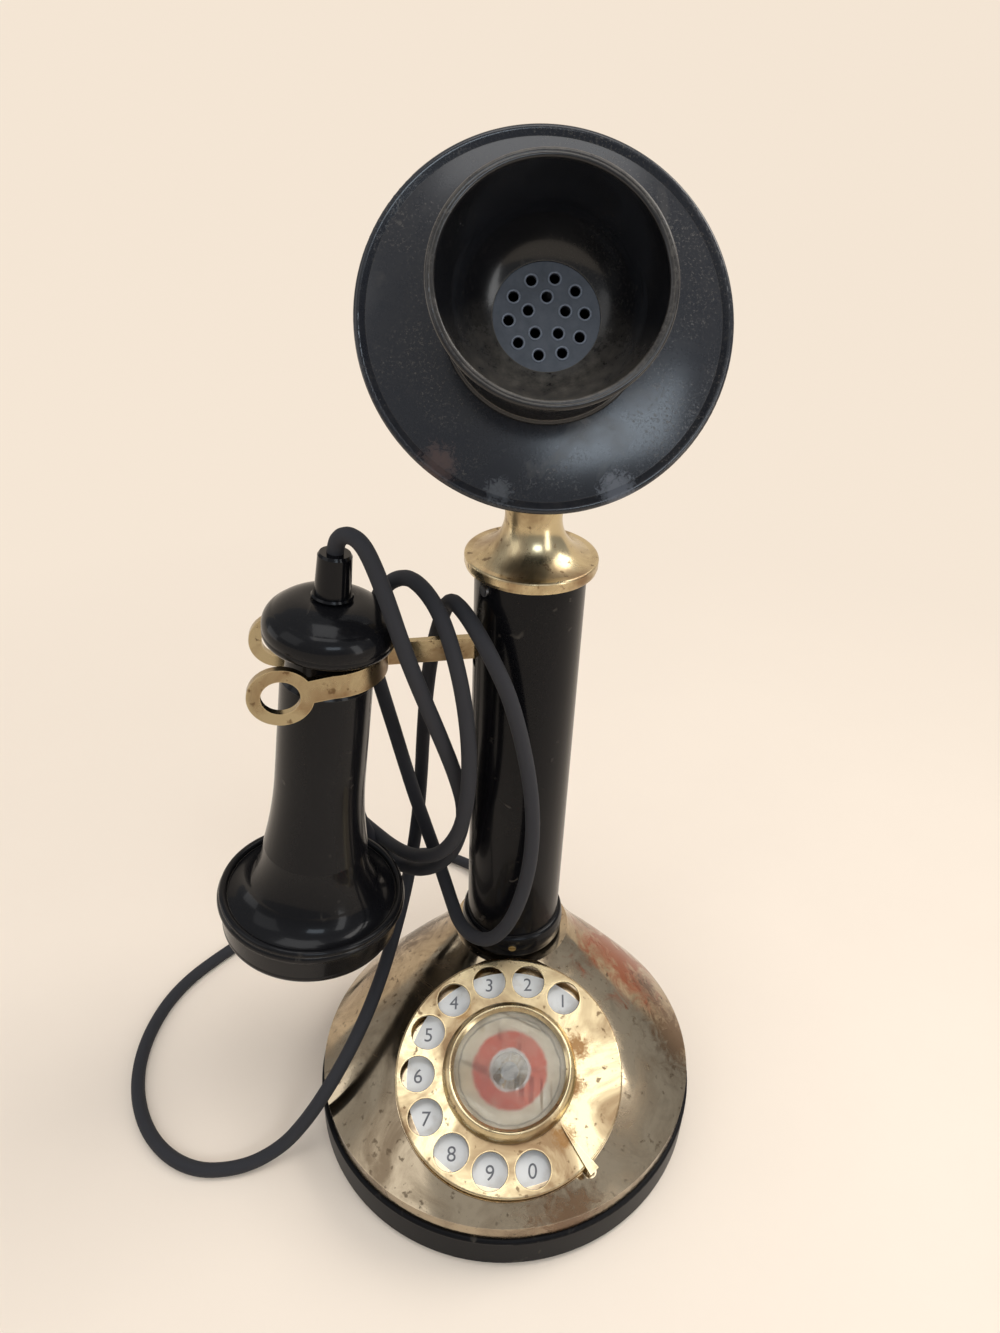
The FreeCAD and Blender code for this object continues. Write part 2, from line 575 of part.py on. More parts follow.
def receiver_magnet():
    legs = [block(s * 6.0 - 2.5, s * 6.0 + 2.5, -4.0, 4.0, -98.0, -72.0) for s in (-1, 1)]
    bridge = block(-8.5, 8.5, -4.0, 4.0, -72.0, -70.0)
    return on_receiver(fused(legs + [bridge]))


def receiver_coils():
    bobbin = block(2.6, 9.4, -5.4, 5.4, -105.0, -98.0)
    return on_receiver(Part.makeCompound([bobbin, placed(bobbin, V(), 180, Z)]))


NODES = {
    "felt_pad": felt_pad, "base_plate": base_plate, "base_screws": base_screws, "base_plinth": base_plinth,
    "ballast_weight": ballast_weight, "base_cover": base_cover, "terminal_block": terminal_block,
    "terminal_screws": terminal_screws, "cord_grommet": cord_grommet, "line_grommet": line_grommet,
    "dial_mount": dial_mount, "number_plate": number_plate, "finger_stop": finger_stop,
    "dial_frame": dial_frame, "dial_bush": dial_bush, "mainspring_barrel": mainspring_barrel,
    "pulse_contacts": pulse_contacts,
    "finger_wheel": finger_wheel, "card_ring": card_ring, "dial_card": dial_card, "card_window": card_window,
    "dial_shaft": dial_shaft, "dial_gear": dial_gear, "governor_pinion": governor_pinion,
    "governor_weights": governor_weights, "column_tube": column_tube, "column_collar": column_collar,
    "collar_screw": collar_screw, "column_cap": column_cap, "cap_screw": cap_screw, "tilt_yoke": tilt_yoke,
    "tilt_pin": tilt_pin, "hook_bracket": hook_bracket, "hook_pin": hook_pin, "hook_lever": hook_lever,
    "contact_springs": contact_springs, "contact_insulators": contact_insulators, "faceplate": faceplate,
    "transmitter_shell": transmitter_shell, "mouthpiece": mouthpiece, "mouthpiece_grille": mouthpiece_grille,
    "transmitter_diaphragm": transmitter_diaphragm, "transmitter_capsule": transmitter_capsule,
    "faceplate_screws": faceplate_screws, "tilt_lug": tilt_lug, "receiver_shell": receiver_shell,
    "receiver_cap": receiver_cap, "cord_sleeve": cord_sleeve, "sleeve_ring": sleeve_ring, "ear_cap": ear_cap,
    "receiver_diaphragm": receiver_diaphragm, "receiver_magnet": receiver_magnet,
    "receiver_coils": receiver_coils,
    "cord_lead": lambda: cord("cord_lead", LEAD_ROUTE),
    "cord_drape": lambda: cord("cord_drape", DRAPE_ROUTE),
    "cord_tail": lambda: cord("cord_tail", TAIL_ROUTE),
}

for name, make in NODES.items():
    make().exportStep("parts/" + name + ".step")
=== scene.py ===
"""Looks of a candlestick telephone: finishes, dial figures, cords, camera and stage."""

import math

import bpy
from mathutils import Matrix, Vector


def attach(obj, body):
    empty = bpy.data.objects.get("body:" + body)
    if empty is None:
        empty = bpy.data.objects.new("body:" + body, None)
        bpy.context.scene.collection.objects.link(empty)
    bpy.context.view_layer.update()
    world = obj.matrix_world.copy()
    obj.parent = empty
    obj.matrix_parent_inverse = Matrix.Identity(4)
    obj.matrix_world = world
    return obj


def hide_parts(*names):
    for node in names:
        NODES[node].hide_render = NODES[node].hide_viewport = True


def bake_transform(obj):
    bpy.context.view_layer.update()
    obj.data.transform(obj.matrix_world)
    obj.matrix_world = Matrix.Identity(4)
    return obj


bl_info = {
    "name": "Candlestick Telephone",
    "version": (1, 0, 0),
    "blender": (4, 5, 0),
    "location": "View3D > Sidebar > Telephone",
    "description": "Dresses the packed telephone with finishes, figures, cords and a stage",
    "category": "Object",
}

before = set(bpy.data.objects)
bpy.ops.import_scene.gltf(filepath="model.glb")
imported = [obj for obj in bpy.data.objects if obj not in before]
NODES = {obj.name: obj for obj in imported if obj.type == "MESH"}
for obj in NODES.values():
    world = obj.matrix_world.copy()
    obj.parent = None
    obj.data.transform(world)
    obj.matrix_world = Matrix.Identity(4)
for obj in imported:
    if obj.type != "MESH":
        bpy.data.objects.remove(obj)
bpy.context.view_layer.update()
MM = 0.001

# Dial and transmitter disc: their centres, and their lean towards the front about X
DIAL_CENTRE = Vector((0.0, -28.5, 46.7)) * MM
DIAL_LEAN = math.radians(20.6)
DISC_CENTRE = Vector((0.0, 18.5, 278.0)) * MM
DISC_LEAN = math.radians(61.3)

# Finger holes in the dial's frame, with their rims' height and clearance, and the number plate below
FINGER_COUNT = 10
FINGER_RING = 30.6 * MM
FINGER_R = 5.8 * MM
FINGER_FIRST = math.radians(53.0)
FINGER_STEP = math.radians(25.8)
RIM_HEIGHT = -0.35 * MM
RIM_CLEARANCE = 0.1 * MM
PLATE_FACE = -4.4 * MM
INK_DEPTH = 0.03 * MM
FONT_SIZE_PER_HEIGHT = 1.4

# Grille ports in the disc's frame: ring, number of ports, radius of the ring and angle of the first port
PORT_RINGS = (
    ("outer", 10, 9.2 * MM, math.radians(8.0)),
    ("inner", 5, 4.7 * MM, math.radians(20.0)))
PORT_R = 1.5 * MM
PORT_HEIGHT = 4.5 * MM
RIM_SIDES = 48
WIRE_SIDES = 10

# Printed card, metres from the dial's centre: inner and outer edge of each soft change of colour
CARD_MIDDLE = (0.0066, 0.0073)
CARD_BAND = (0.0120, 0.0130)
CARD_LINE_INNER = (0.0166, 0.0168)
CARD_LINE_OUTER = (0.0172, 0.0174)

# Burnt patches on the cover and finger wheel, and on the faceplate two pale blue patches at the lower edge
# that are a painted reflection and one brown stain: place, reach and colour
COVER_STAINS = [
    ((0.046, 0.030, 0.043), 0.026, (0.30, 0.075, 0.033)),
    ((0.062, 0.002, 0.026), 0.016, (0.13, 0.075, 0.04)),
    ((0.056, 0.020, 0.034), 0.010, (0.10, 0.045, 0.025)),
    ((0.020, -0.064, 0.020), 0.014, (0.17, 0.095, 0.05)),
    ((-0.040, 0.040, 0.042), 0.018, (0.12, 0.08, 0.045))]
WHEEL_STAINS = [
    ((0.0225, -0.0212, 0.050), 0.0055, (0.24, 0.11, 0.035)),
    ((0.0215, -0.033, 0.0455), 0.004, (0.22, 0.10, 0.03)),
    ((0.018, -0.0475, 0.0405), 0.0045, (0.26, 0.13, 0.045)),
    ((-0.0165, -0.0105, 0.054), 0.004, (0.26, 0.14, 0.05))]
PLATE_STAINS_AND_SHEEN = [
    ((0.0195, -0.0007, 0.2429), 0.0055, (0.10, 0.11, 0.13)),
    ((-0.010, -0.001, 0.2415), 0.004, (0.06, 0.066, 0.075)),
    ((-0.0252, 0.0015, 0.2469), 0.0055, (0.06, 0.035, 0.03))]

# Camera fitted to the photograph: place in metres, angles in radians, lens in pixels of the photograph
CAMERA_PLACE = Vector((-9.2481, -223.4761, 334.9464)) * MM
CAMERA_YAW = 0.0747
CAMERA_PITCH = 0.5744
CAMERA_ROLL = -0.075
FOCAL_PIXELS = 958.2277
CENTRE_PIXELS = (556.09, 666.72)
PHOTO_SIZE = (1000, 1333)
SENSOR = 36.0
NEAR_CLIP = 0.01

# Softboxes: name, place and aim in metres, width and height, power and tint
WHITE = (1.0, 1.0, 1.0)
LIGHTS = (
    ("key_light", (0.8, 0.25, 1.1), (0, 0, 0.12), (0.6, 0.6), 6.9, (1.0, 0.97, 0.93)),
    ("side_light", (0.75, -0.55, 0.35), (0, 0, 0.16), (0.22, 0.8), 1.9, WHITE),
    ("low_light", (-1.1, 0.1, 0.25), (0, 0, 0.05), (0.5, 0.4), 0.7, WHITE),
    ("window_light", (0.3, -1.0, 0.84), (0, 0, 0.25), (0.46, 0.28), 2.3, (0.76, 0.88, 1.0)),
    ("fill_light", (-1.0, -0.5, 0.9), (0, 0, 0.12), (0.8, 0.8), 1.6, WHITE),
    ("top_light", (0.0, -0.2, 1.5), (0, 0, 0.1), (0.7, 0.7), 3.7, WHITE))

# Ceiling light: its strength at the horizon and overhead, and its colour
CEILING_FALL = {"From Min": 0.0, "From Max": 0.9, "To Min": 0.34, "To Max": 0.62}
CEILING_COLOUR = (0.96, 0.97, 1.0, 1.0)

# Receiver cord, mm: from the sleeve down, the loops over the hook, and the tail to the base
LEAD_ROUTE = [
    (-54.3, 15.8, 214.6), (-54.0, 15.85, 216.8), (-52.7, 15.0, 219.6), (-50.3, 13.6, 221.1),
    (-47.6, 11.9, 220.8), (-45.3, 10.5, 218.7), (-42.9, 9.0, 214.0), (-39.6, 7.0, 205.3), (-35.2, 4.4, 191.4),
    (-30.4, 4.2, 176.4), (-25.2, 7.0, 158.8), (-20.7, 10.4, 141.4), (-17.9, 13.2, 125.7),
    (-19.0, 17.0, 110.5), (-21.1, 18.75, 103.15)]
DRAPE_ROUTE = [
    (-21.1, 18.75, 103.15), (-23.2, 20.5, 95.8), (-31.4, 26.5, 83.5), (-40.5, 34.5, 76.8),
    (-48.8, 41.8, 76.0), (-55.2, 46.0, 82.8), (-58.8, 46.2, 95.0), (-59.9, 44.5, 110.0),
    (-59.1, 42.5, 127.4), (-56.9, 41.5, 147.2), (-53.8, 40.5, 165.8), (-49.7, 38.0, 182.1),
    (-43.4, 33.0, 196.0), (-36.3, 26.0, 203.0), (-30.4, 17.5, 203.6), (-25.1, 10.0, 199.5),
    (-20.9, 5.5, 188.4), (-17.9, 4.5, 173.0), (-16.2, 4.2, 154.9), (-16.5, 4.4, 137.5),
    (-19.0, 6.4, 121.0), (-25.2, 12.4, 105.5), (-33.9, 23.0, 93.5), (-43.0, 36.0, 84.5),
    (-52.0, 47.8, 81.0), (-60.8, 54.4, 84.0), (-67.8, 56.0, 93.5), (-72.6, 54.5, 107.5),
    (-75.3, 52.0, 124.3), (-75.4, 50.6, 142.0), (-74.4, 50.0, 156.0), (-70.6, 49.4, 168.0),
    (-62.6, 48.4, 174.6), (-54.6, 46.8, 171.6), (-50.2, 45.2, 162.0), (-47.2, 43.6, 150.0),
    (-43.9, 42.4, 137.0), (-40.5, 41.2, 123.0), (-36.5, 39.5, 107.3), (-32.0, 37.0, 93.2),
    (-27.5, 32.5, 81.4), (-23.0, 24.5, 72.6), (-18.6, 13.5, 68.4), (-9.8, 5.0, 70.6), (-2.7, 2.6, 80.5),
    (2.1, 3.0, 95.7), (4.5, 3.8, 114.5), (3.9, 4.6, 134.6), (0.4, 5.2, 155.2), (-4.6, 5.4, 174.5),
    (-9.8, 6.0, 186.5), (-14.8, 9.0, 194.8), (-19.4, 14.8, 198.8), (-23.0, 21.6, 198.0),
    (-25.3, 27.25, 191.5), (-26.8, 31.0, 184.6)]
TAIL_ROUTE = [
    (-26.8, 31.0, 184.6), (-28.8, 36.0, 175.4), (-30.8, 40.0, 163.0), (-32.6, 43.5, 146.0),
    (-34.0, 47.0, 128.0), (-35.0, 48.5, 109.5), (-36.3, 48.0, 91.3), (-38.3, 43.5, 75.0),
    (-40.6, 33.5, 63.5), (-43.5, 20.5, 55.5), (-46.6, 7.0, 49.5), (-51.0, -6.0, 43.0),
    (-57.0, -17.0, 35.0), (-63.5, -25.0, 26.5), (-70.5, -29.0, 16.0), (-78.5, -32.0, 6.5),
    (-91.0, -37.0, 2.6), (-108.4, -38.0, 2.5), (-125.3, -27.0, 2.5), (-136.7, -7.6, 2.5),
    (-139.8, 14.5, 2.5), (-134.5, 38.0, 2.5), (-118.0, 59.0, 2.5), (-97.5, 78.0, 2.5), (-77.0, 97.5, 2.5),
    (-57.5, 114.0, 2.5), (-39.5, 120.5, 2.5), (-24.0, 115.0, 2.5), (-11.5, 106.0, 3.4), (-3.5, 96.5, 6.0),
    (-0.5, 87.0, 7.5), (-0.5, 77.5, 7.5)]
CORDS = (
    ("cord_lead", LEAD_ROUTE, "hanging"),
    ("cord_drape", DRAPE_ROUTE, "hanging"),
    ("cord_tail", TAIL_ROUTE, "loose"))

# Cords that run between two bodies, left unattached and not bent here: the lower and upper body, and the
# heights in metres where the bend is
CORD_BLENDS = {
    "cord_lead": ("hook", "receiver", 0.10, 0.214),
    "cord_tail": ("base", "hook", 0.10, 0.18)}


def size_property(label, words, default):
    """A length that the panel shows."""
    return bpy.props.FloatProperty(name=label, description=words, default=default, unit="LENGTH")


def colour_property(label, words, default):
    """A colour that the panel shows."""
    return bpy.props.FloatVectorProperty(
        name=label, description=words, default=default, size=3, subtype="COLOR", min=0.0, max=1.0)


class TelephoneSizes(bpy.types.PropertyGroup):
    """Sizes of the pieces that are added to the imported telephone."""

    cord_diameter: size_property("Cord diameter", "Outer diameter of the receiver cord", 4.8 * MM)
    figure_height: size_property("Figure height", "Height of the figures on the number plate", 4.6 * MM)
    rim_wire: size_property("Hole rim", "Radius of the rolled rim round each finger hole", 0.3 * MM)
    port_wire: size_property("Port rim", "Radius of the pressed rim round each grille port", 0.3 * MM)


class TelephoneColours(bpy.types.PropertyGroup):
    """Main colours of the finishes."""

    bright_brass: colour_property(
        "Bright brass", "Clean brass of the hook, cap and finger wheel", (0.60, 0.495, 0.30))
    aged_brass: colour_property("Aged brass", "Lacquered brass of the base cover", (0.46, 0.375, 0.26))
    tarnish: colour_property("Tarnish", "Brown stain on the brass", (0.17, 0.075, 0.028))
    soil: colour_property("Soil", "Grey-brown soil in the cover's lacquer", (0.15, 0.10, 0.058))
    enamel: colour_property("Enamel", "Black enamel of the column", (0.004, 0.004, 0.005))
    ebonite: colour_property("Ebonite", "Hard rubber of the receiver and mouthpiece", (0.006, 0.006, 0.007))
    plate: colour_property("Faceplate", "Blue-black hard rubber of the faceplate", (0.008, 0.010, 0.015))
    dust: colour_property("Dust", "Brown-grey bloom on old hard rubber", (0.15, 0.13, 0.105))
    rubber: colour_property("Rubber", "Cord and sleeve", (0.004, 0.004, 0.005))
    figures: colour_property("Figures", "Printed figures on the number plate", (0.10, 0.10, 0.11))
    backdrop: colour_property("Backdrop", "Floor and backdrop", (0.92, 0.80, 0.67))


def sizes():
    return bpy.context.scene.telephone_sizes


def colours():
    return bpy.context.scene.telephone_colours


def shaded(colour, factor):
    """The colour made darker or paler."""
    return [min(1.0, part * factor) for part in colour]


def on_dial(place):
    """From a place in the dial's frame to the telephone's."""
    frame = Matrix.Translation(DIAL_CENTRE) @ Matrix.Rotation(DIAL_LEAN, 4, "X")
    return frame @ Matrix.Translation(place)


def on_disc(place):
    """From a place in the disc's frame to the telephone's."""
    frame = Matrix.Translation(DISC_CENTRE) @ Matrix.Rotation(DISC_LEAN, 4, "X")
    return frame @ Matrix.Translation(place)


def evaluated_mesh(holder):
    """A mesh of its own with the object's modifiers or curve settings applied."""
    evaluated = holder.evaluated_get(bpy.context.evaluated_depsgraph_get())
    return bpy.data.meshes.new_from_object(evaluated)


class Finish:
    """One finish made of nodes on the Principled shader."""

    def __init__(self, name):
        self.material = bpy.data.materials.new(name)
        self.material.use_nodes = True
        self.tree = self.material.node_tree
        self.shader = self.tree.nodes["Principled BSDF"]
        self.place = self.add("ShaderNodeTexCoord").outputs["Object"]

    def add(self, kind, inputs=None, **settings):
        """A new node with its settings and inputs."""
        node = self.tree.nodes.new(kind)
        for key, value in settings.items():
            setattr(node, key, value)
        for key, value in (inputs or {}).items():
            self.feed(node.inputs[key], value)
        return node

    def feed(self, socket, value):
        """Link another node's socket, or set a constant."""
        if isinstance(value, bpy.types.NodeSocket):
            self.tree.links.new(value, socket)
        else:
            socket.default_value = value

    def set(self, **values):
        """Shader sockets by name, with underscores for spaces."""
        for key, value in values.items():
            self.feed(self.shader.inputs[key.replace("_", " ")], value)

    def mapped(self, scale=(1, 1, 1), turn=(0, 0, 0), shift=(0, 0, 0)):
        node = self.add("ShaderNodeMapping", {"Vector": self.place})
        node.inputs["Scale"].default_value = scale
        node.inputs["Rotation"].default_value = turn
        node.inputs["Location"].default_value = shift
        return node.outputs["Vector"]

    def noise(self, scale, detail=4.0, rough=0.55, warp=0.0, vector=None):
        node = self.add("ShaderNodeTexNoise", {
            "Vector": vector or self.place, "Scale": scale, "Detail": detail,
            "Roughness": rough, "Distortion": warp})
        return node.outputs["Fac"]

    def ramp(self, value, low, high, start=0.0, end=1.0):
        """From start at low to end at high, and level beyond."""
        node = self.add("ShaderNodeMapRange", {
            "Value": value, "From Min": low, "From Max": high, "To Min": start, "To Max": end})
        return node.outputs["Result"]

    def math(self, operation, a, b=0.0):
        node = self.add("ShaderNodeMath", operation=operation)
        self.feed(node.inputs[0], a)
        self.feed(node.inputs[1], b)
        return node.outputs["Value"]

    def mix(self, share, a, b):
        node = self.add("ShaderNodeMix", {"Factor": share}, data_type="RGBA")
        for socket, value in ((node.inputs[6], a), (node.inputs[7], b)):
            self.feed(socket, value if isinstance(value, bpy.types.NodeSocket) else (*value, 1.0))
        return node.outputs[2]

    def outer_edge(self, width):
        """1 along outer edges within about width, 0 on the flats."""
        soft = self.add("ShaderNodeBevel", {"Radius": width}, samples=6)
        plain = self.add("ShaderNodeNewGeometry")
        dot = self.add("ShaderNodeVectorMath", operation="DOT_PRODUCT")
        self.feed(dot.inputs[0], soft.outputs["Normal"])
        self.feed(dot.inputs[1], plain.outputs["Normal"])
        return self.ramp(dot.outputs["Value"], 0.995, 0.86)

    def settled(self):
        """Fine dust where the surface looks upwards."""
        normal = self.add("ShaderNodeNewGeometry").outputs["Normal"]
        facing = self.add("ShaderNodeSeparateXYZ", {"Vector": normal})
        film = self.ramp(self.noise(240.0, detail=8.0, rough=0.8), 0.3, 0.72)
        return self.math("MULTIPLY", self.ramp(facing.outputs["Z"], 0.25, 0.95), film)

    def patches(self, tone, dull, marks):
        """Ragged patches over a tone, and where they leave the surface dull."""
        for place, reach, shade in marks:
            span = self.add("ShaderNodeVectorMath", {0: self.place, 1: place}, operation="DISTANCE")
            torn = self.noise(2.6 / reach, detail=8.0, rough=0.75, warp=1.2)
            rag = self.math("MULTIPLY", torn, reach * 3.0)
            ragged = self.math("ADD", span.outputs["Value"], rag)
            share = self.math("MULTIPLY", self.ramp(ragged, reach * 2.5, reach * 1.9), 0.85)
            tone = self.mix(share, tone, shade)
            dull = self.math("MAXIMUM", dull, share)
        return tone, dull

    def bump(self, height, distance, strength):
        node = self.add("ShaderNodeBump", {"Height": height, "Distance": distance, "Strength": strength})
        self.set(Normal=node.outputs["Normal"])

    def scratches(self, scale=260.0):
        """Fine hairlines in one direction, broken up."""
        drawn_out = self.mapped(scale=(1.0, 0.05, 1.0), turn=(0.3, 0.2, 0.7))
        lines = self.noise(scale, detail=2.0, rough=0.5, warp=0.6, vector=drawn_out)
        broken = self.noise(60.0, detail=3.0)
        return self.math("MULTIPLY", self.ramp(lines, 0.66, 0.74), self.ramp(broken, 0.5, 0.62))


def brass_finish(name, clean, stain, cover, rough, burns=()):
    """Old brass: clean metal with brown stain in clouds and specks, dull where stained, burnt patches, and
    paler edges that are partly polish from wear and partly a painted highlight.
    """
    brass = Finish(name)
    clouds = brass.noise(38.0, detail=6.0, rough=0.62, warp=0.8)
    clouds = brass.ramp(clouds, 0.52 - cover, 0.74 - cover)
    specks = brass.ramp(brass.noise(420.0, detail=3.0, rough=0.5), 0.63, 0.70)
    upright = brass.mapped(scale=(1.0, 1.0, 0.25))
    streaks = brass.ramp(brass.noise(90.0, detail=4.0, rough=0.6, warp=1.2, vector=upright), 0.56, 0.72)
    tone = brass.mix(brass.math("MULTIPLY", streaks, 0.45), clean, shaded(clean, 0.62))
    tone = brass.mix(brass.math("MULTIPLY", clouds, 0.75), tone, stain)
    tone = brass.mix(brass.math("MULTIPLY", specks, 0.65), tone, shaded(stain, 0.5))
    dull = brass.math("MAXIMUM", clouds, brass.math("MULTIPLY", specks, 0.8))
    tone, dull = brass.patches(tone, dull, burns)
    # Paler, glossier edges: partly polish from wear, partly a painted highlight where rounded edges catch
    # light.
    polished_and_lit_edge = brass.math("MULTIPLY", brass.outer_edge(0.0006), 0.7)
    tone = brass.mix(polished_and_lit_edge, tone, shaded(clean, 1.35))
    dull = brass.math("MULTIPLY", dull, brass.math("SUBTRACT", 1.0, polished_and_lit_edge))
    fine = brass.noise(900.0, detail=2.0)
    brass.set(Base_Color=tone, Metallic=1.0, Roughness=brass.ramp(dull, 0.0, 1.0, rough, rough + 0.22))
    height = brass.math("ADD", brass.math("MULTIPLY", fine, 0.25), brass.scratches())
    brass.bump(height, distance=0.00006, strength=0.35)
    return brass.material


def black_finish(name, ground, bloom, rough, gloss, edge_wear_and_highlight, settle=0.0, specks=0.05, coat=0.0, stains_and_sheen=()):
    """Black enamel or hard rubber with a dusty bloom, specks, hairlines, paler edges (wear, and on the cup a
    painted highlight) and patches (stains, and on the faceplate a painted reflection).
    """
    black = Finish(name)
    dust = colours().dust
    clouds = black.noise(34.0, detail=6.0, rough=0.65, warp=0.5)
    clouds = black.ramp(clouds, 0.66 - bloom, 0.92 - bloom)
    dots = black.ramp(black.noise(1500.0, detail=5.0, rough=0.75), 0.52, 0.72)
    thinned = black.ramp(black.noise(48.0, detail=4.0, rough=0.6), 0.4, 0.62)
    dots = black.math("MULTIPLY", dots, thinned)
    grain = black.noise(1400.0, detail=2.0)
    share = black.math("MULTIPLY", clouds, 0.55)
    share = black.math("MAXIMUM", share, black.math("MULTIPLY", dots, specks))
    share = black.math("MAXIMUM", share, black.math("MULTIPLY", black.scratches(), 0.3))
    # Paler edges: wear, and on the mouthpiece cup a painted highlight along the lip.
    share = black.math("MAXIMUM", share, black.math("MULTIPLY", black.outer_edge(0.0007), edge_wear_and_highlight))
    share = black.math("MAXIMUM", share, black.math("MULTIPLY", black.settled(), settle))
    # On the faceplate two of these patches, pale blue at the lower edge, are a painted reflection; the third
    # is a brown stain.
    tone, dull = black.patches(black.mix(share, ground, dust), share, stains_and_sheen)
    black.set(Base_Color=tone, Roughness=black.ramp(dull, 0.0, 0.6, rough, rough + 0.3),
              Specular_IOR_Level=gloss, Coat_Weight=coat, Coat_Roughness=0.06)
    height = black.math("ADD", black.math("MULTIPLY", grain, 0.4), share)
    black.bump(height, distance=0.00004, strength=0.3)
    return black.material


def plain_finish(name, low, high, scale, rough, metallic=0.0, depth=0.00005):
    """Two close tones in a fine grain."""
    plain = Finish(name)
    grain = plain.noise(scale, detail=5.0, rough=0.6)
    plain.set(Base_Color=plain.mix(plain.ramp(grain, 0.3, 0.7), low, high), Metallic=metallic,
              Roughness=plain.ramp(grain, 0.3, 0.7, rough - 0.06, rough + 0.06))
    plain.bump(grain, distance=depth, strength=0.4)
    return plain.material


def card_finish():
    """A plain printed card: cream, a red-orange band and a pale middle, browned with age."""
    card = Finish("card_print")
    lean = (-DIAL_LEAN, 0.0, 0.0)
    turn = Matrix.Rotation(-DIAL_LEAN, 3, "X")
    flat = card.mapped(turn=lean, shift=turn @ -DIAL_CENTRE)
    parts = card.add("ShaderNodeSeparateXYZ", {"Vector": flat})
    x = parts.outputs["X"]
    y = parts.outputs["Y"]
    radius = card.math("SQRT", card.math("ADD", card.math("MULTIPLY", x, x), card.math("MULTIPLY", y, y)))
    wander = card.math("MULTIPLY", card.math("SUBTRACT", card.noise(240.0, detail=4.0), 0.5), 0.0016)
    radius = card.math("ADD", radius, wander)

    def beyond(edges):
        return card.ramp(radius, *edges)

    def within(edges):
        return card.ramp(radius, *reversed(edges))

    stain = card.ramp(card.noise(120.0, detail=5.0, rough=0.62), 0.45, 0.75)
    paper = card.mix(card.math("MULTIPLY", stain, 0.7), (0.80, 0.73, 0.58), (0.52, 0.43, 0.30))
    paper = card.mix(card.math("MULTIPLY", within(CARD_MIDDLE), 0.85), paper, (0.74, 0.74, 0.72))
    band = card.math("MULTIPLY", beyond(CARD_MIDDLE), within(CARD_BAND))
    band = card.math("MULTIPLY", band, card.ramp(stain, 0.0, 1.0, 0.95, 0.55))
    paper = card.mix(band, paper, (0.70, 0.12, 0.05))
    line = card.math("MULTIPLY", beyond(CARD_LINE_INNER), within(CARD_LINE_OUTER))
    paper = card.mix(card.math("MULTIPLY", line, 0.5), paper, (0.16, 0.13, 0.10))
    card.set(Base_Color=paper, Roughness=card.ramp(stain, 0.0, 1.0, 0.55, 0.75))
    card.bump(card.noise(1800.0, detail=3.0), distance=0.00003, strength=0.3)
    return card.material


def window_finish():
    """Clear celluloid, a little yellow, with faint hairlines."""
    clear = Finish("window_clear")
    hair = clear.scratches(300.0)
    clear.set(Base_Color=clear.mix(hair, (0.92, 0.89, 0.80), (0.75, 0.72, 0.64)), Alpha=0.07,
              Roughness=clear.ramp(hair, 0.0, 1.0, 0.04, 0.3), Specular_IOR_Level=0.2)
    return clear.material


def white_finish():
    """White enamel with a little brown soil."""
    white = Finish("white_enamel")
    soil = white.ramp(white.noise(160.0, detail=5.0, rough=0.6, warp=0.4), 0.52, 0.78)
    tone = white.mix(white.math("MULTIPLY", soil, 0.6), (0.74, 0.74, 0.72), (0.42, 0.38, 0.31))
    white.set(Base_Color=tone, Roughness=white.ramp(soil, 0.0, 1.0, 0.22, 0.5))
    white.bump(soil, distance=0.00004, strength=0.25)
    return white.material


def rubber_finish():
    """Smooth black rubber with a faint bloom."""
    rubber = Finish("cord_rubber")
    bloom = rubber.ramp(rubber.noise(70.0, detail=4.0, rough=0.6), 0.5, 0.8)
    grain = rubber.noise(1600.0, detail=2.0)
    ground = colours().rubber
    tone = rubber.mix(rubber.math("MULTIPLY", bloom, 0.5), ground, shaded(ground, 2.2))
    rubber.set(Base_Color=tone, Roughness=rubber.ramp(bloom, 0.0, 1.0, 0.12, 0.24), Specular_IOR_Level=0.2)
    rubber.bump(grain, distance=0.00003, strength=0.12)
    return rubber.material


def dress(material, *names):
    """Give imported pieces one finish."""
    for name in names:
        mesh = NODES[name].data
        mesh.materials.clear()
        mesh.materials.append(material)


def new_piece(name, mesh, material):
    """A new piece at the origin, with its finish and slot."""
    piece = bpy.data.objects.new(name, mesh)
    bpy.context.scene.collection.objects.link(piece)
    mesh.materials.clear()
    mesh.materials.append(material)
    return piece


class TELEPHONE_OT_brass(bpy.types.Operator):
    """Finish the brass pieces."""

    bl_idname = "telephone.brass"
    bl_label = "Brass pieces"

    def execute(self, context):
        shades = colours()
        clean = shades.bright_brass
        stain = shades.tarnish
        bright = brass_finish("bright_brass", clean, stain, cover=0.03, rough=0.2)
        spotted = brass_finish("spotted_brass", clean, stain, cover=0.09, rough=0.22, burns=WHEEL_STAINS)
        aged = brass_finish("aged_brass", shades.aged_brass, shades.soil, cover=0.08, rough=0.1,
                            burns=COVER_STAINS)
        dull = brass_finish("dull_brass", shaded(clean, 0.66), stain, cover=0.06, rough=0.2)
        dress(aged, "base_cover", "dial_mount")
        dress(spotted, "finger_wheel", "finger_stop", "column_cap", "tilt_yoke")
        dress(dull, "hook_lever", "tilt_lug")
        dress(bright, "card_ring", "collar_screw", "dial_gear", "governor_weights", "dial_bush",
              "terminal_screws", "contact_springs", "transmitter_capsule")
        return {"FINISHED"}


